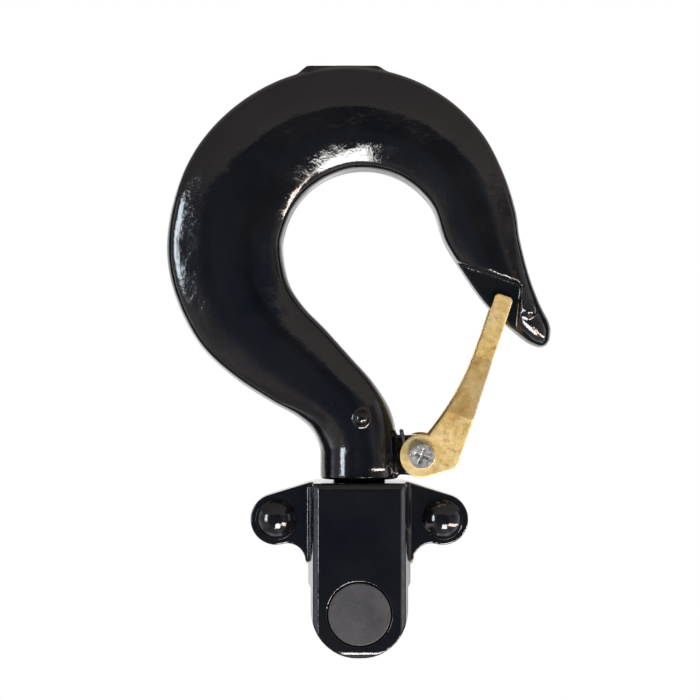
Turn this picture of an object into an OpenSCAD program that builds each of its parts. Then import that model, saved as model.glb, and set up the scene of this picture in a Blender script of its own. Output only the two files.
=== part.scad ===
// Hook block for a 7.1 mm load chain: clevis block, swivel hook and safety latch.
// Millimetres. The origin is on the chain pin's axis, in the middle of the chain slot.
// Z is the load line, Y the chain pin's axis, and the hook hangs down along -Z.

/* [Block] */
// Depth of the two clamped halves together
block_d = 30; // [28:0.5:38]
// Width of the block across the swivel chamber
block_w = 30; // [29.5:0.5:40]
// Width of the clevis lug round the chain pin
lug_w = 27; // [25:0.5:30]
// Chain pin axis down to the block's bottom face
block_drop = 36; // [35:0.5:46]
// Gap between the two cheeks, for the chain
slot_w = 8.5; // [7:0.1:10]
// Rivet axis out from the load line
ear_x = 23.2; // [22:0.1:30]
// Outside radius of an ear
ear_r = 7.1; // [6.6:0.1:8.5]
// Thickness of one half's ear
ear_t = 5.5; // [4:0.1:8]

/* [Chain pin] */
// Diameter of the pin where the chain link bears
pin_d = 9; // [7.5:0.1:10]
// Diameter of the pin's round head
pin_head_d = 17.3; // [15:0.1:17.8]

/* [Swivel] */
// Diameter of the shank inside the block
shank_d = 14; // [12:0.1:15.5]
// Bore of the bearing chamber
chamber_d = 25; // [24:0.1:25.6]
// Diameter of one bearing ball
ball_d = 3.2; // [2.6:0.1:3.6]

/* [Hook] */
// Radius of the bowl
bowl_r = 22.4; // [20:0.1:28]
// Drop from the chain pin's axis to the middle of the bowl
bowl_drop = 100.2; // [98:0.2:118]
// Diameter of the neck
neck_d = 21.8; // [20:0.1:26]
// Section width at the back of the hook
back_w = 32.6; // [27:0.1:38]
// Section width under the bowl
base_w = 29; // [25:0.1:35]
// Thickness of the hook from front to rear
hook_t = 21.5; // [19:0.1:25]

/* [Latch] */
// Width over the latch cheeks at the pivot
latch_w = 21; // [19:0.1:25]
// Width over the latch cheeks at the free end
latch_end_w = 14; // [12.5:0.1:15.5]
// Sheet thickness of the latch
sheet_t = 2; // [1.2:0.1:2.4]
// Reach of the latch from its pivot
latch_len = 49.5; // [45:0.1:50.5]
// Wire diameter of the latch spring
wire_d = 1.1; // [0.8:0.05:1.3]

/* [Hidden] */
$fn = 48;
eps = 0.01;
fit = 0.05;
half_d = block_d / 2;
cheek_t = half_d - slot_w / 2;

// block profile seen from the front
bottom_z = -block_drop;
lug_r = lug_w / 2;
lug_cz = -1.2;
step_z = -8.6;
slot_z = -13;
plate_inset = 2.4;
edge_r = 2;
ear_z = bottom_z + 10.4;
ear_fillet = 5;
fillet_x = block_w / 2 + ear_fillet;
fillet_dx = ear_x - fillet_x;
fillet_z = ear_z + sqrt(pow(ear_r + ear_fillet, 2) - fillet_dx * fillet_dx);
rivet_d = 7;
rivet_head_d = 11.6;
rivet_head_h = 3.6;

// chain pin
pin_bore = pin_d + 2 * fit;
cb_d = pin_head_d + 0.6;
cb_front = 2.8;
cb_rear = 6.6;
pin_end_d = pin_d - 1;
pin_nut_af = 13;
pin_nut_h = 5;
cotter_d = 1.8;
cotter_y = half_d - 2.3;

// swivel stack, from the chamber's floor upwards
floor_t = 5.5;
floor_z = bottom_z + floor_t;
race_t = 1.8;
groove = 0.3;
ball_z = floor_z + race_t + ball_d / 2 - groove;
race2_z = ball_z + ball_d / 2 - groove;
nut_z = race2_z + race_t + 0.02;
nut_top = slot_z - 3.2;
nut_d = chamber_d - 4;
race_od = chamber_d - 1;
race_id = shank_d + 1;
ball_pitch_r = (race_od + race_id) / 4;
ball_count = 14;
shank_top = slot_z - 1.8;
lock_d = 3;
lock_z = (nut_z + nut_top) / 2;
neck_gap = 0.7;
neck_top = bottom_z - neck_gap;

// hook: middle of the bowl and the scale its curves follow
bowl_x = -1.2;
bowl_z = -bowl_drop;
k = bowl_r / 22.4;
neck_r = neck_d / 2;
neck_low = neck_top - 8;

// latch pivot, and the latch's own axes: u along it, v outwards
piv_x = -17.3;
piv_z = bottom_z - 7.4;
latch_lean = -18.6;
latch_v = 10.3;
latch_base_r = 6.1;
lug_half = 4;
boss_r = 5.7;
cheek_in = latch_w / 2 - sheet_t;
end_in = latch_end_w / 2 - sheet_t;
fold_u1 = 14;
fold_u2 = 31;
web_end = 41.2;
sleeve_d = 6;
screw_d = 4;
screw_head_d = 7;
screw_head_h = 2.6;
washer_d = 9;
washer_t = 0.8;
latch_nut_af = 7;
latch_nut_h = 5;
pocket_half = end_in - 0.35;
pocket_u = 54.15;

// ---- the forged block -------------------------------------------------

// block outline in x and z, without the ears
module block_outline() {
    translate([0, lug_cz]) circle(r = lug_r, $fn = 96);
    polygon([[-lug_r, lug_cz], [-lug_r, step_z + 1.5], [-block_w / 2, step_z],
             [-block_w / 2, bottom_z + 2.6], [-block_w / 2 + plate_inset, bottom_z],
             [block_w / 2 - plate_inset, bottom_z], [block_w / 2, bottom_z + 2.6],
             [block_w / 2, step_z], [lug_r, step_z + 1.5], [lug_r, lug_cz]]);
}

// one ear, on the +x side: straight lower edge, round end, filleted upper edge
module ear_outline() {
    foot = [block_w / 2 - plate_inset + 1, bottom_z + 0.02];
    away = [ear_x, ear_z] - foot;
    reach = norm(away);
    turn = atan2(away[1], away[0]) - asin(ear_r / reach);
    touch = foot + sqrt(reach * reach - ear_r * ear_r) * [cos(turn), sin(turn)];
    difference() {
        union() {
            translate([ear_x, ear_z]) circle(r = ear_r, $fn = 64);
            polygon([[0, foot[1]], foot, touch, [ear_x, ear_z],
                     [fillet_x, fillet_z], [0, fillet_z]]);
        }
        translate([fillet_x, fillet_z]) circle(r = ear_fillet, $fn = 64);
    }
}

// block seen along z: drafted sides and rounded front edges
module block_section() {
    hw = block_w / 2;
    difference() {
        polygon([[-hw, 0], [-hw + plate_inset, -half_d], [hw - plate_inset, -half_d], [hw, 0]]);
        for (s = [-1, 1])
            translate([s * (hw - plate_inset + 0.15), -half_d - 0.15])
                rotate(45) square(edge_r * 1.1, center = true);
    }
}

// block seen along x: rounded lower and upper front edges
module block_side() {
    r = edge_r;
    top = lug_cz + lug_r;
    translate([-half_d, bottom_z + r]) square([half_d, top - bottom_z - 2 * r]);
    translate([-half_d + r, bottom_z]) square([half_d - r, top - bottom_z]);
    translate([-half_d + r, bottom_z + r]) circle(r = r);
    translate([-half_d + r, top - r]) circle(r = r);
}

// front half before its counterbore; the rear half is its mirror image
module half_blank() {
    tall = block_drop + lug_w;
    difference() {
        union() {
            intersection() {
                rotate([90, 0, 0]) linear_extrude(height = half_d) block_outline();
                translate([0, 0, bottom_z - 1]) linear_extrude(height = tall) block_section();
                rotate([90, 0, 90]) translate([0, 0, -block_w])
                    linear_extrude(height = 2 * block_w) block_side();
            }
            for (s = [0, 1]) mirror([s, 0, 0])
                rotate([90, 0, 0]) linear_extrude(height = ear_t) ear_outline();
        }
        translate([-block_w, -slot_w / 2, slot_z]) cube([2 * block_w, slot_w, 2 * lug_w]);
        translate([0, 0, floor_z]) cylinder(d = chamber_d, h = slot_z - floor_z + 0.5, $fn = 96);
        translate([0, 0, bottom_z - 1]) cylinder(d = shank_d + 1, h = floor_t + 2, $fn = 96);
        rotate([90, 0, 0]) cylinder(d = pin_bore, h = 4 * block_d, center = true, $fn = 96);
        for (s = [-1, 1]) translate([s * ear_x, 0, ear_z]) rotate([90, 0, 0])
            cylinder(d = rivet_d + 2 * fit, h = block_d, center = true, $fn = 64);
    }
}

module block_front_half() {
    color([0.05, 0.05, 0.06]) difference() {
        half_blank();
        translate([0, -half_d + cb_front, 0]) rotate([90, 0, 0])
            cylinder(d = cb_d, h = 10, $fn = 96);
    }
}

module block_rear_half() {
    color([0.05, 0.05, 0.06]) difference() {
        mirror([0, 1, 0]) half_blank();
        translate([0, half_d - cb_rear, 0]) rotate([-90, 0, 0])
            cylinder(d = cb_d, h = 10, $fn = 96);
    }
}

// a domed rivet head standing on z = 0
module rivet_head() {
    ball_r = (pow(rivet_head_d / 2, 2) + pow(rivet_head_h, 2)) / (2 * rivet_head_h);
    intersection() {
        translate([0, 0, rivet_head_h - ball_r]) sphere(r = ball_r, $fn = 64);
        cylinder(d = rivet_head_d + 1, h = rivet_head_h + 1);
    }
}

module rivets() {
    color([0.06, 0.06, 0.07]) for (s = [-1, 1]) translate([s * ear_x, 0, ear_z])
        rotate([90, 0, 0]) {
            cylinder(d = rivet_d, h = 2 * ear_t + 2 * eps, center = true, $fn = 64);
            translate([0, 0, ear_t]) rivet_head();
            translate([0, 0, -ear_t]) mirror([0, 0, 1]) rivet_head();
        }
}

// ---- chain pin --------------------------------------------------------

module chain_pin() {
    head_h = cb_front - 0.25;
    color([0.25, 0.25, 0.27]) difference() {
        union() {
            translate([0, -half_d + 0.15, 0]) rotate([-90, 0, 0])
                cylinder(d = pin_head_d, h = head_h, $fn = 96);
            translate([0, -half_d + 0.15, 0]) rotate([-90, 0, 0])
                cylinder(d = pin_d, h = block_d - cb_rear - 0.3, $fn = 96);
            translate([0, -half_d + 0.15, 0]) rotate([-90, 0, 0])
                cylinder(d = pin_end_d, h = block_d - 0.9, $fn = 96);
        }
        translate([0, cotter_y, 0]) rotate([0, 90, 0])
            cylinder(d = cotter_d + 0.2, h = 20, center = true);
    }
}

// slotted nut, its slots turned to the split pin
module chain_pin_nut() {
    y0 = half_d - cb_rear + 0.05;
    slot_y = cotter_y - cotter_d / 2 - 0.1;
    color([0.6, 0.6, 0.58]) difference() {
        translate([0, y0, 0]) rotate([-90, 30, 0])
            cylinder(d = pin_nut_af / cos(30), h = pin_nut_h, $fn = 6);
        translate([0, y0 - 1, 0]) rotate([-90, 0, 0])
            cylinder(d = pin_end_d + 2 * fit, h = pin_nut_h + 2, $fn = 96);
        for (a = [0, 60, 120]) rotate([0, a, 0])
            translate([-10, slot_y, -cotter_d / 2 - 0.1])
                cube([20, 5, cotter_d + 0.2]);
    }
}

module split_pin() {
    leg_x = pin_nut_af / 2 + 0.9;
    ring_r = 0.6;
    ring_wire = 0.8;
    ring_x = pin_nut_af / 2 + 0.1 + ring_r + ring_wire / 2;
    color([0.7, 0.7, 0.68]) translate([0, cotter_y, 0]) {
        translate([-ring_x + ring_r, 0, 0]) rotate([0, 90, 0])
            cylinder(d = cotter_d, h = ring_x - ring_r + leg_x);
        translate([-ring_x, 0, 0]) rotate([90, 0, 0])
            rotate_extrude() translate([ring_r, 0]) circle(d = ring_wire, $fn = 20);
        for (s = [-1, 1]) translate([leg_x, 0, 0]) rotate([0, s > 0 ? 0 : 180, 0])
            cylinder(d = cotter_d * 0.6, h = 3);
    }
}

// ---- swivel -----------------------------------------------------------

module race_fixed() {
    color([0.75, 0.76, 0.78]) difference() {
        translate([0, 0, floor_z + eps]) cylinder(d = race_od, h = race_t - eps, $fn = 96);
        translate([0, 0, floor_z - 1]) cylinder(d = race_id, h = race_t + 2, $fn = 96);
        translate([0, 0, ball_z]) rotate_extrude($fn = 96)
            translate([ball_pitch_r, 0]) circle(d = ball_d + 2 * fit, $fn = 32);
    }
}

module race_turning() {
    color([0.75, 0.76, 0.78]) difference() {
        translate([0, 0, race2_z]) cylinder(d = race_od - 0.6, h = race_t, $fn = 96);
        translate([0, 0, race2_z - 1]) cylinder(d = shank_d + 2 * fit, h = race_t + 2, $fn = 96);
        translate([0, 0, ball_z]) rotate_extrude($fn = 96)
            translate([ball_pitch_r, 0]) circle(d = ball_d + 2 * fit, $fn = 32);
    }
}

// flat cage that spaces the balls
module ball_cage() {
    cage_t = 1.4;
    color([0.78, 0.62, 0.3]) difference() {
        translate([0, 0, ball_z - cage_t / 2])
            cylinder(d = race_od - 0.8, h = cage_t, $fn = 96);
        translate([0, 0, ball_z - 2]) cylinder(d = race_id + 0.4, h = 4, $fn = 96);
        for (i = [0 : ball_count - 1]) rotate([0, 0, i * 360 / ball_count])
            translate([ball_pitch_r, 0, ball_z - 2]) cylinder(d = ball_d + 2 * fit, h = 4, $fn = 32);
    }
}

module bearing_balls() {
    color([0.85, 0.86, 0.88]) for (i = [0 : ball_count - 1])
        rotate([0, 0, i * 360 / ball_count])
            translate([ball_pitch_r, 0, ball_z]) sphere(d = ball_d, $fn = 24);
}

module hook_nut() {
    color([0.5, 0.5, 0.52]) difference() {
        translate([0, 0, nut_z]) cylinder(d = nut_d, h = nut_top - nut_z, $fn = 96);
        translate([0, 0, nut_z - 1])
            cylinder(d = shank_d + 2 * fit, h = nut_top - nut_z + 2, $fn = 96);
        translate([0, 0, lock_z]) rotate([0, 90, 0])
            cylinder(d = lock_d + 2 * fit, h = 2 * nut_d, center = true);
    }
}

module nut_lock_pin() {
    color([0.6, 0.6, 0.62]) translate([0, 0, lock_z]) rotate([0, 90, 0])
        cylinder(d = lock_d, h = nut_d - 0.8, center = true);
}

// ---- hook -------------------------------------------------------------

// a point given from the middle of the bowl, in bowl scale
function at(dx, dz) = [bowl_x + k * dx, bowl_z + k * dz];
// a radial section of the bowl at one angle and width
function radial(a, w) = [at(22.4 * cos(a), 22.4 * sin(a)),
    at(22.4 * cos(a), 22.4 * sin(a)) + w * [cos(a), sin(a)]];
// the point between the neck and the bowl's own frame, share m along
function mixed(x, z, m) = let (g = at(x - bowl_x, z + 100.2),
    n = [x * neck_r / 10.9, z + 36.7 + neck_top]) g * m + n * (1 - m);

ht = hook_t / 2;
// section width round the bowl: back, base and the start of the point, on one parabola
point_w = base_w - 6.5;
function bowl_w(a) = let (t = max(0, -30 - a) / 120)
    back_w * (1 - t) * (1 - 2 * t) + base_w * 4 * t * (1 - t) + point_w * t * (2 * t - 1);
function bowl_key(a) = let (s = radial(a, bowl_w(a)), t = max(0, -90 - a) / 60)
    [s[0], s[1], ht * (1 - 0.08 * t * t), 2.6];
// key sections from neck to tip: inner point, outer point, half depth, squareness
keys = [
    [[-neck_r + 0.12, neck_low + 5], [neck_r - 0.12, neck_low + 5], neck_r - 0.12, 2.0],
    [[-neck_r + 0.12, neck_low], [neck_r - 0.12, neck_low], neck_r - 0.12, 2.0],
    [mixed(-9.2, -54.6, 0.25), mixed(13.2, -50.2, 0.2), ht, 2.1],
    [mixed(-4.4, -63.2, 0.55), mixed(17.8, -54.4, 0.5), ht, 2.3],
    [mixed(2.4, -70.9, 0.85), mixed(25.0, -58.4, 0.8), ht, 2.5],
    [at(10.7, 21.4), at(36.2, 35.2), ht, 2.6],
    [at(16.4, 15.6), at(45.8, 26.0), ht, 2.6],
    [at(20.6, 9.0), at(52.4, 13.2), ht, 2.6],
    for (a = [0 : -15 : -150]) bowl_key(a),
    [at(-22.4, -2.4), at(-42.5, -11.5), ht * 0.86, 2.5],
    [at(-27.2, 5.4), at(-43.7, -3.6), ht * 0.79, 2.4],
    [at(-33.2, 14.0), at(-46.2, 6.4), ht * 0.73, 2.3],
    [at(-39.3, 20.2), at(-49.1, 14.2), ht * 0.67, 2.2],
    [at(-45.1, 25.1), at(-52.1, 20.3), ht * 0.52, 2.0],
    [at(-48.5, 26.7), at(-52.2, 24.0), ht * 0.34, 2.0],
    [at(-50.3, 26.9), at(-51.6, 25.7), ht * 0.12, 2.0]];

// smooth curve through four values, share t from the second to the third
function glide(a, b, c, d, t) = 0.5 * (2 * b + (c - a) * t
    + (2 * a - 5 * b + 4 * c - d) * t * t + (3 * b - a - 3 * c + d) * t * t * t);
last = len(keys) - 1;
function key_at(i) = keys[max(0, min(last, i))];
function station(s) = let (i = min(last - 1, floor(s)), t = s - i)
    [for (j = [0 : 3]) glide(key_at(i - 1)[j], key_at(i)[j], key_at(i + 1)[j],
                             key_at(i + 2)[j], t)];
function bulge(c, e) = sign(c) * pow(abs(c), 2 / e);
ring_n = 24;
steps = 3;
ring_count = last * steps + 1;
function ring(st) = let (m = (st[0] + st[1]) / 2, h = (st[1] - st[0]) / 2)
    [for (q = [0 : ring_n - 1]) let (a = 360 * q / ring_n,
        c = bulge(cos(a), st[3]), n = bulge(sin(a), st[3]))
        [m[0] + h[0] * c, st[2] * n * (1 - 0.07 * c), m[1] + h[1] * c]];

module hook_sweep() {
    pts = [for (s = [0 : ring_count - 1]) each ring(station(s / steps))];
    sides = [for (s = [0 : ring_count - 2], q = [0 : ring_n - 1])
        let (a = s * ring_n + q, b = s * ring_n + (q + 1) % ring_n)
        each [[a, b, b + ring_n], [a, b + ring_n, a + ring_n]]];
    start_cap = [[for (q = [ring_n - 1 : -1 : 0]) q]];
    end_cap = [[for (q = [0 : ring_n - 1]) (ring_count - 1) * ring_n + q]];
    polyhedron(points = pts, faces = concat(sides, start_cap, end_cap), convexity = 6);
}

// moves to the latch's axes: x is u, y is v, z runs from rear to front
module in_latch_plane() {
    translate([piv_x, 0, piv_z]) rotate([90, 0, 0]) rotate([0, 0, latch_lean - 90])
        mirror([0, 1, 0]) children();
}

module hook_body() {
    color([0.05, 0.05, 0.06]) difference() {
        union() {
            hook_sweep();
            translate([0, 0, neck_low]) cylinder(r = neck_r, h = neck_top - neck_low, $fn = 96);
            translate([0, 0, neck_top - 1])
                cylinder(d = shank_d, h = shank_top - neck_top + 1, $fn = 96);
            // latch lug, tied back to the neck
            translate([piv_x, 0, piv_z]) rotate([90, 0, 0])
                cylinder(r = boss_r, h = 2 * lug_half, center = true, $fn = 96);
            rotate([90, 0, 0]) linear_extrude(height = 2 * lug_half, center = true)
                polygon([[-3, piv_z + boss_r - 0.6], [piv_x, piv_z + boss_r - eps],
                         [piv_x + 0.2, piv_z - boss_r + eps], [-3, piv_z - boss_r + 0.2]]);
            // flat land left under the bowl by the forging die
            translate([bowl_x - 4.9, -4.5, bowl_z - bowl_r - base_w - 0.4]) cube([21.6, 9, 5]);
            // measuring studs on the front of neck and tip
            translate([-0.5, -ht + 0.4, piv_z - 10.4]) sphere(r = 2.25, $fn = 32);
            translate([at(-45.7, 16.6)[0], -ht * 0.56, at(-45.7, 16.6)[1]]) sphere(r = 2.1, $fn = 32);
        }
        translate([piv_x, 0, piv_z]) rotate([90, 0, 0])
            cylinder(d = sleeve_d + 2 * fit, h = 4 * lug_half, center = true, $fn = 96);
        translate([0, 0, lock_z]) rotate([0, 90, 0])
            cylinder(d = lock_d + 2 * fit, h = 2 * shank_d, center = true);
        // seat for the latch end on both flanks of the tip
        for (s = [0, 1]) mirror([0, s, 0]) in_latch_plane()
            translate([0, 0, pocket_half]) linear_extrude(height = 20) pocket_outline();
    }
}

module pocket_outline() {
    r = 2.5;
    difference() {
        polygon([[31, -18], [pocket_u, -18], [pocket_u, 11.6], [31, 16.6]]);
        difference() {
            translate([pocket_u - r, 11.9 - r]) square([r + 1, r + 1]);
            translate([pocket_u - r, 11.9 - r]) circle(r = r);
        }
    }
}

// ---- latch ------------------------------------------------------------

// one cheek flat: round base, straight outer edge, hollowed inner edge
module cheek_outline() {
    hollow_r = 78;
    circle(r = latch_base_r, $fn = 96);
    difference() {
        polygon([[-5.6, 2.4], [-1.2, latch_v - 1.2], [-0.2, latch_v - 0.35], [0.9, latch_v],
                 [latch_len - 0.8, latch_v], [latch_len, latch_v - 0.8],
                 [latch_len, latch_v - 4.4], [latch_len - 0.7, latch_v - 5.1],
                 [36, latch_v - 5], [18, latch_v - 11], [4, latch_v - 15], [0, -3]]);
        translate([34, latch_v - 5.1 - hollow_r]) circle(r = hollow_r, $fn = 240);
    }
}

// the cheeks' fold seen along v: wide base, slope, narrow end
module fold_outline(inner, outer, inner_end, outer_end) {
    polygon([[-20, inner], [fold_u1, inner], [fold_u2, inner_end], [60, inner_end],
             [60, outer_end], [fold_u2, outer_end], [fold_u1, outer], [-20, outer]]);
}

module latch() {
    w = latch_w / 2;
    e = latch_end_w / 2;
    color([0.8, 0.62, 0.22]) difference() {
        in_latch_plane() union() {
            for (s = [0, 1]) mirror([0, 0, s]) intersection() {
                translate([0, 0, -20]) linear_extrude(height = 40) cheek_outline();
                translate([0, 30, 0]) rotate([90, 0, 0]) linear_extrude(height = 60)
                    fold_outline(cheek_in, w, end_in, e);
            }
            translate([0, latch_v, 0]) rotate([90, 0, 0]) linear_extrude(height = sheet_t)
                polygon([[2.6, -w], [fold_u1, -w], [fold_u2, -e], [web_end, -e],
                         [web_end, e], [fold_u2, e], [fold_u1, w], [2.6, w]]);
        }
        translate([piv_x, 0, piv_z]) rotate([90, 0, 0])
            cylinder(d = screw_d + 2 * fit, h = 2 * latch_w, center = true, $fn = 64);
    }
}

module on_pivot() {
    translate([piv_x, 0, piv_z]) rotate([-90, 0, 0]) children();
}

module latch_sleeve() {
    long = 2 * cheek_in - 2 * eps;
    color([0.65, 0.65, 0.63]) on_pivot() difference() {
        cylinder(d = sleeve_d, h = long, center = true, $fn = 64);
        cylinder(d = screw_d + 2 * fit, h = long + 2, center = true, $fn = 64);
    }
}

module latch_screw() {
    w = latch_w / 2;
    long = latch_w + screw_head_h + washer_t + latch_nut_h + 0.6;
    color([0.78, 0.78, 0.76]) on_pivot() difference() {
        union() {
            translate([0, 0, -w - screw_head_h])
                cylinder(d = screw_head_d, h = screw_head_h - eps, $fn = 64);
            translate([0, 0, -w - screw_head_h + 0.5]) cylinder(d = screw_d, h = long - 0.5, $fn = 64);
        }
        for (a = [0, 90]) rotate([0, 0, a + 20])
            translate([-2.2, -0.45, -w - screw_head_h - 1]) cube([4.4, 0.9, 2.4]);
    }
}

module latch_washer() {
    color([0.78, 0.78, 0.76]) on_pivot() translate([0, 0, latch_w / 2 + eps]) difference() {
        cylinder(d = washer_d, h = washer_t - eps, $fn = 64);
        translate([0, 0, -1]) cylinder(d = screw_d + 2 * fit, h = washer_t + 2, $fn = 64);
    }
}

module latch_nut() {
    color([0.75, 0.75, 0.73]) on_pivot() translate([0, 0, latch_w / 2 + washer_t + eps])
        difference() {
            cylinder(d = latch_nut_af / cos(30), h = latch_nut_h, $fn = 6);
            translate([0, 0, -1]) cylinder(d = screw_d + 2 * fit, h = latch_nut_h + 2, $fn = 64);
        }
}

// double torsion spring: a coil each side of the lug, one bridge on the neck, two legs
coil_r = sleeve_d / 2 + 0.5 + wire_d / 2;
coil_y0 = lug_half + 0.25 + wire_d / 2;
coil_y1 = cheek_in - 0.25 - wire_d / 2;
pivot = [piv_x, piv_z];
bridge = [-neck_r - wire_d / 2 - 0.3, piv_z - boss_r - wire_d / 2 - 0.5];
leg_far = pivot + [-10.9, -9.5];
function bearing(p) = atan2(p[1] - pivot[1], p[0] - pivot[0]);
function tangent_turn(p) = acos(coil_r / norm(p - pivot));
coil_a0 = bearing(bridge) + tangent_turn(bridge);
coil_a1 = bearing(leg_far) - tangent_turn(leg_far);
coil_sweep = coil_a1 - coil_a0 + 360 * (ceil((coil_a0 - coil_a1) / 360) + 2);
coil_n = 40;
coil_pts = [for (i = [0 : coil_n]) let (a = coil_a0 + coil_sweep * i / coil_n)
    [piv_x + coil_r * cos(a), coil_y0 + (coil_y1 - coil_y0) * i / coil_n,
     piv_z + coil_r * sin(a)]];
side_pts = concat([[bridge[0], coil_y0, bridge[1]]], coil_pts,
                  [[leg_far[0], coil_y1, leg_far[1]]]);
wire_pts = concat([for (i = [len(side_pts) - 1 : -1 : 0])
        [side_pts[i][0], -side_pts[i][1], side_pts[i][2]]], side_pts);
wire_n = 8;
function heading(i) = let (a = wire_pts[max(0, i - 1)],
    b = wire_pts[min(len(wire_pts) - 1, i + 1)]) (b - a) / norm(b - a);
// a direction across the wire that never lines up with it
function across(i) = let (p = wire_pts[i], o = p - [piv_x, p[1], piv_z],
    t = heading(i), w = o - (o * t) * t) w / norm(w);
function wire_ring(i) = let (t = heading(i), n = across(i), b = cross(t, n))
    [for (q = [0 : wire_n - 1]) let (a = 360 * q / wire_n)
        wire_pts[i] + wire_d / 2 * (cos(a) * n + sin(a) * b)];

module latch_spring() {
    m = len(wire_pts);
    pts = [for (i = [0 : m - 1]) each wire_ring(i)];
    sides = [for (i = [0 : m - 2], q = [0 : wire_n - 1])
        let (a = i * wire_n + q, b = i * wire_n + (q + 1) % wire_n)
        each [[a, b + wire_n, b], [a, a + wire_n, b + wire_n]]];
    color([0.55, 0.56, 0.58]) polyhedron(points = pts, faces = concat(sides,
        [[for (q = [0 : wire_n - 1]) q]],
        [[for (q = [wire_n - 1 : -1 : 0]) (m - 1) * wire_n + q]]), convexity = 8);
}

block_front_half();
block_rear_half();
rivets();
chain_pin();
chain_pin_nut();
split_pin();
hook_body();
hook_nut();
nut_lock_pin();
race_fixed();
race_turning();
ball_cage();
bearing_balls();
latch();
latch_sleeve();
latch_screw();
latch_washer();
latch_nut();
latch_spring();
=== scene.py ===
"""Looks of the crane hook block: painted forgings, plated latch, turned pin, in the CAD's frame."""
import math

import bmesh
import bpy
import numpy as np
from mathutils import Matrix, Vector


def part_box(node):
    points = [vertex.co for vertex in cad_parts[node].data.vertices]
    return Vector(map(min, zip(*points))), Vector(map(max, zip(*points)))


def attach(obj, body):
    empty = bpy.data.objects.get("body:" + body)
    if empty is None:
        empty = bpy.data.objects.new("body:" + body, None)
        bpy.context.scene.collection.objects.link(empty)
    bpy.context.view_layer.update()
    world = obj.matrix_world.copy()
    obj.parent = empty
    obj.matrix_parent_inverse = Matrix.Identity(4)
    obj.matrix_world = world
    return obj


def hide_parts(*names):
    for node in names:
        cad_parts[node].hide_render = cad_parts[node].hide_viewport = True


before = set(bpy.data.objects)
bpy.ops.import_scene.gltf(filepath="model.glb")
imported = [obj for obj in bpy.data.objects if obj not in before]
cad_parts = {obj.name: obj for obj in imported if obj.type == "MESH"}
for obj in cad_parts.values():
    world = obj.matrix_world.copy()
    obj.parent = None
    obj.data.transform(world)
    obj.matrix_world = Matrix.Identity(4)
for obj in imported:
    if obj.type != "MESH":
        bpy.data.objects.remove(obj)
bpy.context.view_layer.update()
MM = 0.001

# sizes that follow the CAD model's, in millimetres
HOOK_T = 21.5
NECK_R = 10.9
NECK_TOP = -36.7
NECK_LOW = -44.7
BOWL = (-1.2, -100.2)
BOWL_R = 22.4
BACK_W = 32.6
BASE_W = 29.0
PIVOT = (-17.3, -43.4)
LEAN = math.radians(-108.6)
WIRE_R = 0.55
LUG_R = 5.7
LUG_HALF = 4
LUG_BORE_R = 3.06
SHANK_R = 7
SHANK_TOP = -14.8
LOCK_HOLE_R = 1.6
SLEEVE_R = 3
LATCH_INSIDE = 8.5
TIP_W = BASE_W - 6.5
TIP_HALF = 4.65

# the stage, in metres
FLOOR_Z = -0.262
FLOOR_REACH = 0.5


# ---- meshes ------------------------------------------------------------

def placed(name, data):
    """The data as an object in the scene."""
    obj = bpy.data.objects.new(name, data)
    bpy.context.scene.collection.objects.link(obj)
    return obj


def from_bmesh(name, bm):
    mesh = bpy.data.meshes.new(name)
    bm.to_mesh(mesh)
    bm.free()
    return placed(name, mesh)


def mesh_object(name, verts, faces):
    mesh = bpy.data.meshes.new(name)
    mesh.from_pydata([tuple(v) for v in verts], [], faces)
    bm = bmesh.new()
    bm.from_mesh(mesh)
    bmesh.ops.recalc_face_normals(bm, faces=bm.faces)
    bm.to_mesh(mesh)
    bm.free()
    return placed(name, mesh)


def cylinder(radius, low, high, matrix, sides=96):
    """Closed cylinder along the matrix's z axis, millimetres in and metres out."""
    bm = bmesh.new()
    bmesh.ops.create_cone(bm, cap_ends=True, segments=sides, radius1=radius * MM,
                          radius2=radius * MM, depth=(high - low) * MM)
    bmesh.ops.translate(bm, vec=(0, 0, (low + high) / 2 * MM), verts=bm.verts)
    bmesh.ops.transform(bm, matrix=matrix, verts=bm.verts)
    return from_bmesh("tool", bm)


def prism(outline, low, high, to_world):
    """Closed prism: outline points run through to_world(a, b, depth)."""
    n = len(outline)
    verts = [to_world(a, b, low) for a, b in outline] + [to_world(a, b, high) for a, b in outline]
    faces = [list(range(n)), list(range(2 * n - 1, n - 1, -1))]
    faces += [[i, (i + 1) % n, n + (i + 1) % n, n + i] for i in range(n)]
    return mesh_object("tool", verts, faces)


def upright(x, z, y):
    """Front-view millimetres to metres."""
    return (x * MM, y * MM, z * MM)


def bake(obj):
    """Replaces the object's mesh with its evaluated one and drops its modifiers."""
    depsgraph = bpy.context.evaluated_depsgraph_get()
    mesh = bpy.data.meshes.new_from_object(obj.evaluated_get(depsgraph))
    obj.modifiers.clear()
    obj.data = mesh


def cut(obj, *tools):
    """Takes each tool's volume out of the object and removes the tool."""
    for tool in tools:
        mod = obj.modifiers.new("cut", "BOOLEAN")
        mod.operation = "DIFFERENCE"
        mod.solver = "EXACT"
        mod.object = tool
        bake(obj)
        bpy.data.objects.remove(tool)


def join(name, objs):
    bm = bmesh.new()
    for o in objs:
        bm.from_mesh(o.data)
        bpy.data.objects.remove(o)
    return from_bmesh(name, bm)


def shade_smooth(mesh):
    for poly in mesh.polygons:
        poly.use_smooth = True


def soften(obj, voxel, rounds):
    """One closed skin whose edges are rounded as paint or plating rounds them."""
    mod = obj.modifiers.new("skin", "REMESH")
    mod.mode = "VOXEL"
    mod.voxel_size = voxel * MM
    mod.use_smooth_shade = True
    smooth = obj.modifiers.new("round", "SMOOTH")
    smooth.factor = 0.5
    smooth.iterations = rounds
    bake(obj)
    shade_smooth(obj.data)


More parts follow.
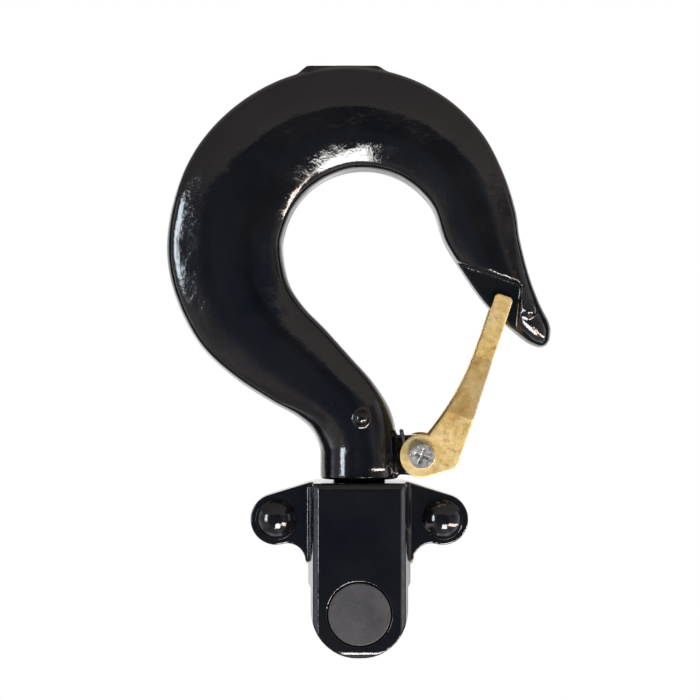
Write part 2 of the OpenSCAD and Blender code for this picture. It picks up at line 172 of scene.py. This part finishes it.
def refined(node, voxel, rounds):
    """A softened copy of a CAD node that stands for it."""
    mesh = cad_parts[node].data.copy()
    obj = placed(node + "_skin", mesh)
    bm = bmesh.new()
    bm.from_mesh(mesh)
    bmesh.ops.remove_doubles(bm, verts=bm.verts, dist=1e-6)
    bm.to_mesh(mesh)
    bm.free()
    soften(obj, voxel, rounds)
    return obj


# ---- hook --------------------------------------------------------------

def at(dx, dz):
    """A place given from the bowl's centre."""
    return (BOWL[0] + dx, BOWL[1] + dz)


def radial(angle, width):
    a = math.radians(angle)
    c, s = math.cos(a), math.sin(a)
    return (at(BOWL_R * c, BOWL_R * s), at((BOWL_R + width) * c, (BOWL_R + width) * s))


def hook_keys():
    """Key sections from neck to tip: inner point, outer point, half depth, squareness."""
    h = HOOK_T / 2
    r = NECK_R - 0.02
    rows = [((-r, NECK_LOW + 5), (r, NECK_LOW + 5), r, 2.0),
            ((-r, NECK_LOW), (r, NECK_LOW), r, 2.0),
            ((-9.2, -54.6), (13.2, -50.2), h, 2.1),
            ((-4.4, -63.2), (17.8, -54.4), h, 2.3),
            ((2.4, -70.9), (25.0, -58.4), h, 2.5),
            (at(10.7, 21.4), at(36.2, 35.2), h, 2.6),
            (at(16.4, 15.6), at(45.8, 26.0), h, 2.6),
            (at(20.6, 9.0), at(52.4, 13.2), h, 2.6)]
    for angle in range(0, -151, -15):
        # the width runs along a parabola from back through base to where the tip begins
        t = max(0, -30 - angle) / 120
        width = (BACK_W * (1 - t) * (1 - 2 * t) + BASE_W * 4 * t * (1 - t)
                 + TIP_W * t * (2 * t - 1))
        share = 1 - 0.08 * (max(0, -90 - angle) / 60) ** 2
        inner, outer = radial(angle, width)
        rows.append((inner, outer, h * share, 2.6))
    rows += [(at(-22.4, -2.4), at(-42.5, -11.5), h * 0.86, 2.5),
             (at(-27.2, 5.4), at(-43.7, -3.6), h * 0.79, 2.4),
             (at(-33.2, 14.0), at(-46.2, 6.4), h * 0.73, 2.3),
             (at(-39.3, 20.2), at(-49.1, 14.2), h * 0.67, 2.2),
             (at(-45.1, 25.1), at(-52.1, 20.3), h * 0.52, 2.0),
             (at(-48.5, 26.7), at(-52.2, 24.0), h * 0.34, 2.0),
             (at(-50.3, 26.9), at(-51.6, 25.7), h * 0.12, 2.0)]
    return np.array([[*a, *b, d, e] for a, b, d, e in rows])


def crowned(cosine, sine, depth, square):
    """Forged section: flat crest band, sloped flanks, tight rounding at both rims."""
    c = np.sign(cosine) * np.abs(cosine) ** (2 / square)
    s = np.abs(sine) ** (2 / square)
    wide = np.abs(c)
    crest = np.ones_like(wide)
    crest_half, flank_slope, rim_power, soft = 0.34, 0.46, 3.4, 26.0
    flank = 1.0 - flank_slope * (wide - crest_half)
    rim = 1.03 * (1 - np.minimum(wide, 1) ** rim_power) ** (1 / rim_power)
    forged = -np.log(np.exp(-soft * crest) + np.exp(-soft * flank) + np.exp(-soft * rim)) / soft
    forged = np.where(rim < 0.35, rim, forged) * 1.02
    blend = np.clip((square - 2.0) / 0.45, 0, 1)
    s = s * (1 - blend) + np.minimum(forged, 1) * blend
    return c, depth * s * np.sign(np.round(sine, 9)) * (1 - 0.07 * c)


def hook_sweep():
    """One closed skin through the key sections, with a Catmull-Rom curve between them."""
    keys = hook_keys()
    steps, ring = 14, 96
    last = len(keys) - 1
    angle = np.linspace(0, 2 * np.pi, ring, endpoint=False)
    verts = []
    for s in np.linspace(0, last, last * steps + 1):
        i = min(last - 1, int(s))
        t = s - i
        a, b, c, d = (keys[min(last, max(0, i + o))] for o in (-1, 0, 1, 2))
        v = 0.5 * (2 * b + (c - a) * t + (2 * a - 5 * b + 4 * c - d) * t ** 2
                   + (3 * b - a - 3 * c + d) * t ** 3)
        inner, outer = v[0:2], v[2:4]
        px, py = crowned(np.cos(angle), np.sin(angle), v[4], v[5])
        mid, half = (inner + outer) / 2, (outer - inner) / 2
        verts += [((mid[0] + half[0] * x) * MM, y * MM, (mid[1] + half[1] * x) * MM)
                  for x, y in zip(px, py)]
    count = len(verts) // ring
    faces = [[a * ring + q, a * ring + (q + 1) % ring, (a + 1) * ring + (q + 1) % ring,
              (a + 1) * ring + q] for a in range(count - 1) for q in range(ring)]
    faces += [list(range(ring)), [(count - 1) * ring + q for q in range(ring)]]
    return mesh_object("hook_sweep", verts, faces)


def latch_axes(u, v, y):
    """Along the shut latch, outwards from it and across it, to metres."""
    cu, su = math.cos(LEAN), math.sin(LEAN)
    x = PIVOT[0] + u * cu + v * su
    z = PIVOT[1] + u * su - v * cu
    return (x * MM, y * MM, z * MM)


def narrow_tip(body):
    """Cuts both sides of the tip back, where the latch's sides pass it."""
    start, end, inner, outer, back, rounding = 31, 54.15, -18, 11.9, 16.6, 2.5
    corner = [(end - rounding + rounding * math.sin(a), outer - rounding + rounding * math.cos(a))
              for a in np.linspace(math.pi / 2, 0, 9)]
    outline = [(start, inner), (end, inner), *corner, (start, back)]
    cut(body, prism(outline, -20, -TIP_HALF, latch_axes), prism(outline, TIP_HALF, 20, latch_axes))


def bored_shank():
    """The shank with its lock pin's hole, at the height of the CAD's pin."""
    shank = cylinder(SHANK_R, NECK_TOP - 1, SHANK_TOP, Matrix.Identity(4))
    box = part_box("nut_lock_pin")
    lock = Matrix.Rotation(math.pi / 2, 4, "Y")
    lock.translation.z = (box[0][2] + box[1][2]) / 2
    cut(shank, cylinder(LOCK_HOLE_R, -20, 20, lock, sides=32))
    return shank


def latch_lug():
    """The lug's boss and the web that joins it to the neck, both bored for the sleeve."""
    cross = Matrix.Translation((PIVOT[0] * MM, 0, PIVOT[1] * MM)) @ Matrix.Rotation(math.pi / 2, 4, "X")
    boss = cylinder(LUG_R, -LUG_HALF, LUG_HALF, cross)
    web = prism([(-3, PIVOT[1] + 5.1), (PIVOT[0], PIVOT[1] + 5.69),
                 (PIVOT[0] + 0.2, PIVOT[1] - 5.69), (-3, PIVOT[1] - 5.5)], -LUG_HALF, LUG_HALF, upright)
    cut(boss, cylinder(LUG_BORE_R, -9, 9, cross))
    cut(web, cylinder(LUG_BORE_R, -9, 9, cross))
    return boss, web


def stud(x, y, z, radius):
    bm = bmesh.new()
    bmesh.ops.create_uvsphere(bm, u_segments=40, v_segments=24, radius=radius * MM)
    bmesh.ops.translate(bm, vec=(x * MM, y * MM, z * MM), verts=bm.verts)
    return from_bmesh("stud", bm)


def hook_body():
    body = hook_sweep()
    narrow_tip(body)
    neck = cylinder(NECK_R, NECK_LOW, NECK_TOP, Matrix.Identity(4))
    land = prism([(-5.2, -151.98), (14.6, -151.98), (17.6, -149.4), (-8.6, -149.8)], -4.5, 4.5, upright)
    studs = [stud(-0.5, -HOOK_T / 2 + 0.4, -53.8, 2.25), stud(-46.9, -HOOK_T * 0.28, -83.6, 2.1)]
    hook = join("hook_body_skin", [body, neck, bored_shank(), *latch_lug(), land, *studs])
    soften(hook, 0.42, 9)
    return hook


# ---- latch spring ------------------------------------------------------

def latch_spring():
    """The same route as the CAD spring's, with a round wire and many more points."""
    pivot = Vector(PIVOT)
    side_gap = 0.25
    coil_r = SLEEVE_R + 0.5 + WIRE_R
    y0, y1 = LUG_HALF + side_gap + WIRE_R, LATCH_INSIDE - side_gap - WIRE_R
    bridge = Vector((-NECK_R - WIRE_R - 0.3, PIVOT[1] - LUG_R - WIRE_R - 0.5))
    far = pivot + Vector((-10.9, -9.5))

    def bearing(p):
        """Direction from the pivot."""
        return math.atan2(p.y - pivot.y, p.x - pivot.x)

    def turn(p):
        """Angle at the pivot between a point and where its tangent meets the coil."""
        return math.acos(coil_r / (p - pivot).length)

    a0 = bearing(bridge) + turn(bridge)
    a1 = bearing(far) - turn(far)
    sweep = a1 - a0 + 2 * math.pi * (math.ceil((a0 - a1) / (2 * math.pi)) + 2)
    side = [(bridge.x, y0, bridge.y)]
    steps = 150
    for i in range(steps + 1):
        a = a0 + sweep * i / steps
        side.append((pivot.x + coil_r * math.cos(a), y0 + (y1 - y0) * i / steps,
                     pivot.y + coil_r * math.sin(a)))
    side.append((far.x, y1, far.y))
    path = [(x, -y, z) for x, y, z in reversed(side)] + side
    curve = bpy.data.curves.new("latch_spring_wire", "CURVE")
    curve.dimensions = "3D"
    curve.bevel_depth = WIRE_R * MM
    curve.bevel_resolution = 5
    curve.use_fill_caps = True
    spline = curve.splines.new("POLY")
    spline.points.add(len(path) - 1)
    for point, p in zip(spline.points, path):
        point.co = (p[0] * MM, p[1] * MM, p[2] * MM, 1)
    route = placed("latch_spring_wire", curve)
    depsgraph = bpy.context.evaluated_depsgraph_get()
    mesh = bpy.data.meshes.new_from_object(route.evaluated_get(depsgraph))
    bpy.data.objects.remove(route)
    shade_smooth(mesh)
    return placed("latch_spring_wire", mesh)


# ---- materials ---------------------------------------------------------

def fill_ramp(band, stops):
    while len(band.elements) < len(stops):
        band.elements.new(0.5)
    for element, (pos, colour) in zip(band.elements, stops):
        element.position = pos
        element.color = (*colour, 1)


class Material:
    """A procedural material in the object's own coordinates."""

    def __init__(self, name):
        self.mat = bpy.data.materials.new(name)
        self.mat.use_nodes = True
        self.tree = self.mat.node_tree
        self.shader = self.tree.nodes["Principled BSDF"]
        self.coords = self.tree.nodes.new("ShaderNodeTexCoord").outputs["Object"]

    def node(self, kind, **values):
        node = self.tree.nodes.new(kind)
        for key, value in values.items():
            setattr(node, key, value)
        return node

    def link(self, a, b):
        self.tree.links.new(a, b)

    def noise(self, scale, detail=4, rough=0.55, distort=0.0):
        n = self.node("ShaderNodeTexNoise")
        n.inputs["Scale"].default_value = scale
        n.inputs["Detail"].default_value = detail
        n.inputs["Roughness"].default_value = rough
        n.inputs["Distortion"].default_value = distort
        self.link(self.coords, n.inputs["Vector"])
        return n.outputs["Fac"]

    def ramp(self, value, stops):
        r = self.node("ShaderNodeValToRGB")
        fill_ramp(r.color_ramp, stops)
        self.link(value, r.inputs["Fac"])
        return r.outputs["Color"]

    def span(self, value, low, high, start=0.0, end=1.0):
        m = self.node("ShaderNodeMapRange")
        m.inputs["From Min"].default_value = start
        m.inputs["From Max"].default_value = end
        m.inputs["To Min"].default_value = low
        m.inputs["To Max"].default_value = high
        self.link(value, m.inputs["Value"])
        return m.outputs["Result"]

    def math(self, operation, a, b):
        m = self.node("ShaderNodeMath", operation=operation)
        for socket, value in zip(m.inputs, (a, b)):
            if isinstance(value, (int, float)):
                socket.default_value = value
            else:
                self.link(value, socket)
        return m.outputs["Value"]

    def mix(self, factor, a, b):
        m = self.node("ShaderNodeMix", data_type="RGBA")
        self.link(factor, m.inputs["Factor"])
        for socket, value in ((m.inputs[6], a), (m.inputs[7], b)):
            if isinstance(value, tuple):
                socket.default_value = (*value, 1)
            else:
                self.link(value, socket)
        return m.outputs[2]

    def worn(self, low, high):
        """0 on flats to 1 on the sharpest edges, broken up by noise."""
        geo = self.node("ShaderNodeNewGeometry")
        edge = self.span(geo.outputs["Pointiness"], 0, 1, low, high)
        return self.math("MULTIPLY", edge, self.span(self.noise(420, 6), 0, 1, 0.42, 0.62))

    def bumps(self, *layers):
        """Layers of (height socket, distance in metres, strength), coarse first."""
        normal = None
        for height, distance, strength in layers:
            b = self.node("ShaderNodeBump")
            b.inputs["Distance"].default_value = distance
            b.inputs["Strength"].default_value = strength
            self.link(height, b.inputs["Height"])
            if normal is not None:
                self.link(normal, b.inputs["Normal"])
            normal = b.outputs["Normal"]
        self.link(normal, self.shader.inputs["Normal"])

    def put(self, **values):
        names = {"colour": "Base Color", "rough": "Roughness", "metal": "Metallic",
                 "coat": "Coat Weight", "coat_rough": "Coat Roughness", "ior": "IOR"}
        for key, value in values.items():
            socket = self.shader.inputs[names[key]]
            if isinstance(value, (int, float)):
                socket.default_value = value
            elif isinstance(value, tuple):
                socket.default_value = (*value, 1)
            else:
                self.link(value, socket)


def black_paint():
    m = Material("black_gloss_paint")
    patch = m.noise(45, 5)
    wear = m.worn(0.56, 0.66)
    dust = m.span(m.noise(2600, 2), 0, 1, 0.70, 0.76)
    base = m.ramp(patch, [(0.3, (0.003, 0.0032, 0.0045)), (0.7, (0.008, 0.0075, 0.008))])
    base = m.mix(m.math("MULTIPLY", dust, 0.12), base, (0.2, 0.19, 0.18))
    base = m.mix(m.math("MULTIPLY", wear, 0.35), base, (0.06, 0.052, 0.045))
    rough = m.math("ADD", m.span(m.noise(110, 6), 0.05, 0.15, 0.35, 0.7),
                   m.math("MULTIPLY", dust, 0.2))
    m.put(colour=base, rough=rough, coat=0.5, coat_rough=0.04, ior=1.55)
    m.bumps((m.noise(95, 2, 0.4), 0.0011, 0.42), (m.noise(360, 4, 0.6), 0.00026, 0.45),
            (m.noise(1500, 2), 0.00005, 0.35))
    return m.mat


def yellow_zinc():
    m = Material("yellow_zinc_plate")
    drift = m.noise(130, 6, 0.6, 0.8)
    base = m.ramp(drift, [(0.28, (0.52, 0.33, 0.10)), (0.45, (0.74, 0.53, 0.20)),
                          (0.58, (0.80, 0.62, 0.30)), (0.75, (0.66, 0.42, 0.24))])
    stain = m.span(m.noise(520, 5), 0, 1, 0.60, 0.72)
    base = m.mix(m.math("MULTIPLY", stain, 0.45), base, (0.30, 0.18, 0.06))
    bright = m.worn(0.55, 0.62)
    base = m.mix(m.math("MULTIPLY", bright, 0.6), base, (0.88, 0.78, 0.55))
    m.put(colour=base, rough=m.span(m.noise(900, 4), 0.34, 0.52, 0.3, 0.7), metal=0.72)
    m.bumps((m.noise(260, 4), 0.00012, 0.35), (m.noise(2200, 3), 0.00003, 0.4))
    return m.mat


def plain_zinc(name="zinc_plate", tint=(0.62, 0.62, 0.60), rough=0.34):
    m = Material(name)
    mottled = m.noise(900, 5)
    dark = tuple(c * 0.55 for c in tint)
    base = m.ramp(mottled, [(0.3, dark), (0.62, tint)])
    grime = m.span(m.noise(300, 5), 0, 1, 0.58, 0.72)
    base = m.mix(m.math("MULTIPLY", grime, 0.5), base, (0.12, 0.10, 0.08))
    m.put(colour=base, rough=m.span(m.noise(1500, 3), rough - 0.08, rough + 0.12, 0.3, 0.7), metal=0.9)
    m.bumps((m.noise(1800, 4), 0.00003, 0.4),)
    return m.mat


def turned_steel():
    """Dark phosphated steel with rings of turning marks round the Y axis."""
    m = Material("phosphated_turned_steel")
    flat = m.node("ShaderNodeVectorMath", operation="MULTIPLY")
    flat.inputs[1].default_value = (1, 0, 1)
    m.link(m.coords, flat.inputs[0])
    length = m.node("ShaderNodeVectorMath", operation="LENGTH")
    m.link(flat.outputs["Vector"], length.inputs[0])
    radius = length.outputs["Value"]
    ring = m.math("SINE", m.math("MULTIPLY", radius, 2 * math.pi / 0.00055), 0)
    grain = m.noise(1400, 5)
    base = m.ramp(m.noise(160, 6), [(0.3, (0.028, 0.028, 0.032)), (0.7, (0.055, 0.055, 0.06))])
    speck = m.span(m.noise(2400, 2), 0, 1, 0.64, 0.72)
    base = m.mix(m.math("MULTIPLY", speck, 0.35), base, (0.16, 0.16, 0.165))
    base = m.mix(m.math("MULTIPLY", m.worn(0.54, 0.62), 0.7), base, (0.26, 0.25, 0.24))
    m.put(colour=base, rough=m.span(grain, 0.42, 0.62, 0.3, 0.7), metal=0.35)
    m.bumps((ring, 0.000008, 0.35), (grain, 0.00004, 0.4))
    return m.mat


def polished(name, tint):
    m = Material(name)
    base = m.ramp(m.noise(300, 4), [(0.35, tuple(c * 0.85 for c in tint)), (0.65, tint)])
    m.put(colour=base, rough=m.span(m.noise(1200, 4), 0.1, 0.22, 0.3, 0.7), metal=1.0)
    m.bumps((m.noise(1600, 3), 0.00001, 0.3),)
    return m.mat


# ---- assembly ----------------------------------------------------------

paint = black_paint()
yellow = yellow_zinc()
zinc = plain_zinc()
wire_steel = plain_zinc("spring_steel", (0.42, 0.43, 0.45), 0.28)
turned = turned_steel()
bearing = polished("bearing_steel", (0.78, 0.79, 0.82))
brass = polished("cage_brass", (0.72, 0.52, 0.22))


def paint_all(obj, material):
    obj.data.materials.clear()
    obj.data.materials.append(material)


# node: body it rides on, voxel in millimetres, smoothing rounds, material, slot
SKINS = {"block_front_half": ("block", 0.3, 5, paint, "black_paint"),
         "block_rear_half": ("block", 0.3, 5, paint, "black_paint"),
         "rivets": ("block", 0.2, 3, paint, "black_paint"),
         "chain_pin": ("chain_pin", 0.16, 3, turned, "phosphated_steel"),
         "chain_pin_nut": ("chain_pin", 0.14, 2, zinc, "zinc_steel"),
         "latch": ("latch", 0.2, 4, yellow, "yellow_zinc"),
         "latch_screw": ("latch", 0.1, 3, zinc, "zinc_steel"),
         "latch_nut": ("latch", 0.12, 2, zinc, "zinc_steel")}
for node, (body, voxel, rounds, material, slot) in SKINS.items():
    skin = refined(node, voxel, rounds)
    paint_all(skin, material)
    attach(skin, body)
    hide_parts(node)

hook = hook_body()
paint_all(hook, paint)
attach(hook, "hook")
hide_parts("hook_body")

spring = latch_spring()
paint_all(spring, wire_steel)
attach(spring, "hook")
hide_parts("latch_spring")

KEPT = {"split_pin": zinc, "hook_nut": turned, "nut_lock_pin": zinc, "race_fixed": bearing,
        "race_turning": bearing, "ball_cage": brass, "bearing_balls": bearing,
        "latch_sleeve": zinc, "latch_washer": zinc}
for node, material in KEPT.items():
    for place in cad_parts[node].material_slots:
        place.material = material

# ---- floor, light, camera ----------------------------------------------

scene = bpy.context.scene


def camera_mix(tree, seen, lit):
    """Shader that the camera sees one way and everything else another."""
    path = tree.nodes.new("ShaderNodeLightPath")
    mix = tree.nodes.new("ShaderNodeMixShader")
    tree.links.new(path.outputs["Is Camera Ray"], mix.inputs["Fac"])
    tree.links.new(lit, mix.inputs[1])
    tree.links.new(seen, mix.inputs[2])
    return mix.outputs["Shader"]


def stage_node(tree, kind, values=None, operation=None):
    node = tree.nodes.new(kind)
    if operation:
        node.operation = operation
    for socket, value in (values or {}).items():
        node.inputs[socket].default_value = value
    return node


def floor_material():
    """Pale to the camera and dark to every other ray; the pale part fades out before the edge."""
    mat = bpy.data.materials.new("pale_floor")
    mat.use_nodes = True
    tree = mat.node_tree
    pale = tree.nodes["Principled BSDF"]
    pale.inputs["Base Color"].default_value = (0.86, 0.86, 0.87, 1)
    pale.inputs["Roughness"].default_value = 0.55
    dark = stage_node(tree, "ShaderNodeBsdfDiffuse", {"Color": (0.2, 0.19, 0.19, 1)})
    place = stage_node(tree, "ShaderNodeTexCoord")
    reach = stage_node(tree, "ShaderNodeVectorMath", {1: (0, 0, FLOOR_Z)}, "DISTANCE")
    tree.links.new(place.outputs["Object"], reach.inputs[0])
    fade = stage_node(tree, "ShaderNodeMapRange", {"From Min": 0.12, "From Max": 0.42})
    tree.links.new(reach.outputs["Value"], fade.inputs["Value"])
    faded = stage_node(tree, "ShaderNodeMixShader")
    clear = stage_node(tree, "ShaderNodeBsdfTransparent")
    tree.links.new(fade.outputs["Result"], faded.inputs["Fac"])
    tree.links.new(pale.outputs["BSDF"], faded.inputs[1])
    tree.links.new(clear.outputs["BSDF"], faded.inputs[2])
    tree.links.new(camera_mix(tree, faded.outputs["Shader"], dark.outputs["BSDF"]),
                   tree.nodes["Material Output"].inputs["Surface"])
    return mat


def studio_world():
    """White to the camera; to the object, bands of brightness from front to back with soft noise."""
    world = bpy.data.worlds.new("studio")
    world.use_nodes = True
    tree = world.node_tree
    tree.nodes.clear()
    coords = stage_node(tree, "ShaderNodeTexCoord")
    front = stage_node(tree, "ShaderNodeVectorMath", {1: (0, -1, 0)}, "DOT_PRODUCT")
    tree.links.new(coords.outputs["Generated"], front.inputs[0])
    spread = stage_node(tree, "ShaderNodeMapRange", {"From Min": -1})
    tree.links.new(front.outputs["Value"], spread.inputs["Value"])
    band = stage_node(tree, "ShaderNodeValToRGB")
    fill_ramp(band.color_ramp, [
        (0.0, (1.0, 1.0, 1.0)), (0.17, (0.9, 0.9, 0.9)), (0.23, (0.02, 0.02, 0.024)),
        (0.45, (0.03, 0.027, 0.027)), (0.50, (0.85, 0.92, 1.0)), (0.56, (0.55, 0.6, 0.7)),
        (0.64, (0.30, 0.275, 0.27)), (0.84, (0.24, 0.215, 0.215)), (0.93, (0.035, 0.055, 0.085)),
        (1.0, (0.025, 0.045, 0.075))])
    tree.links.new(spread.outputs["Result"], band.inputs["Fac"])
    room = stage_node(tree, "ShaderNodeTexNoise", {"Scale": 2.2, "Detail": 2.0})
    tree.links.new(coords.outputs["Generated"], room.inputs["Vector"])
    level = stage_node(tree, "ShaderNodeMapRange", {"From Min": 0.35, "From Max": 0.65,
                                                    "To Min": 0.45, "To Max": 1.9})
    tree.links.new(room.outputs["Fac"], level.inputs["Value"])
    lit = stage_node(tree, "ShaderNodeBackground")
    tree.links.new(band.outputs["Color"], lit.inputs["Color"])
    tree.links.new(level.outputs["Result"], lit.inputs["Strength"])
    seen = stage_node(tree, "ShaderNodeBackground", {"Color": (1, 1, 1, 1), "Strength": 1.0})
    out = stage_node(tree, "ShaderNodeOutputWorld")
    tree.links.new(camera_mix(tree, seen.outputs["Background"], lit.outputs["Background"]),
                   out.inputs["Surface"])
    return world


floor = mesh_object("floor", [(x * FLOOR_REACH, y * FLOOR_REACH, FLOOR_Z)
                              for x, y in ((-1, -1), (1, -1), (1, 1), (-1, 1))], [[0, 1, 2, 3]])
floor.data.materials.append(floor_material())
scene.world = studio_world()


def softbox(name, place, size, power, colour):
    """An area light aimed near the middle of the object."""
    lamp = bpy.data.lights.new(name, "AREA")
    lamp.shape = "RECTANGLE"
    lamp.size, lamp.size_y = size
    lamp.energy = power
    lamp.color = colour
    obj = placed(name, lamp)
    obj.location = place
    aim = Vector((0, 0, -0.08)) - Vector(place)
    obj.rotation_euler = aim.to_track_quat("-Z", "Y").to_euler()


softbox("cool_side", (0.9, -0.75, -0.35), (0.25, 0.9), 9, (0.80, 0.90, 1.0))
softbox("warm_strip_a", (-0.8, -0.5, 0.35), (0.9, 0.08), 6, (1.0, 0.84, 0.74))
softbox("warm_strip_b", (-0.75, -0.6, 0.5), (0.9, 0.06), 5, (1.0, 0.80, 0.70))
softbox("key_above", (-0.2, -1.1, 0.75), (0.5, 0.5), 14, (1.0, 0.99, 0.97))
softbox("low_fill", (0.3, -1.0, -0.95), (0.5, 0.35), 8, (0.88, 0.94, 1.0))

camera = bpy.data.cameras.new("camera")
camera.lens = 147
camera.sensor_width = 36
cam = placed("camera", camera)
cam.location = (0.0026, -0.80, -0.0727)
cam.rotation_euler = (math.pi / 2, math.pi, 0)
scene.camera = cam
scene.view_settings.view_transform = "Standard"
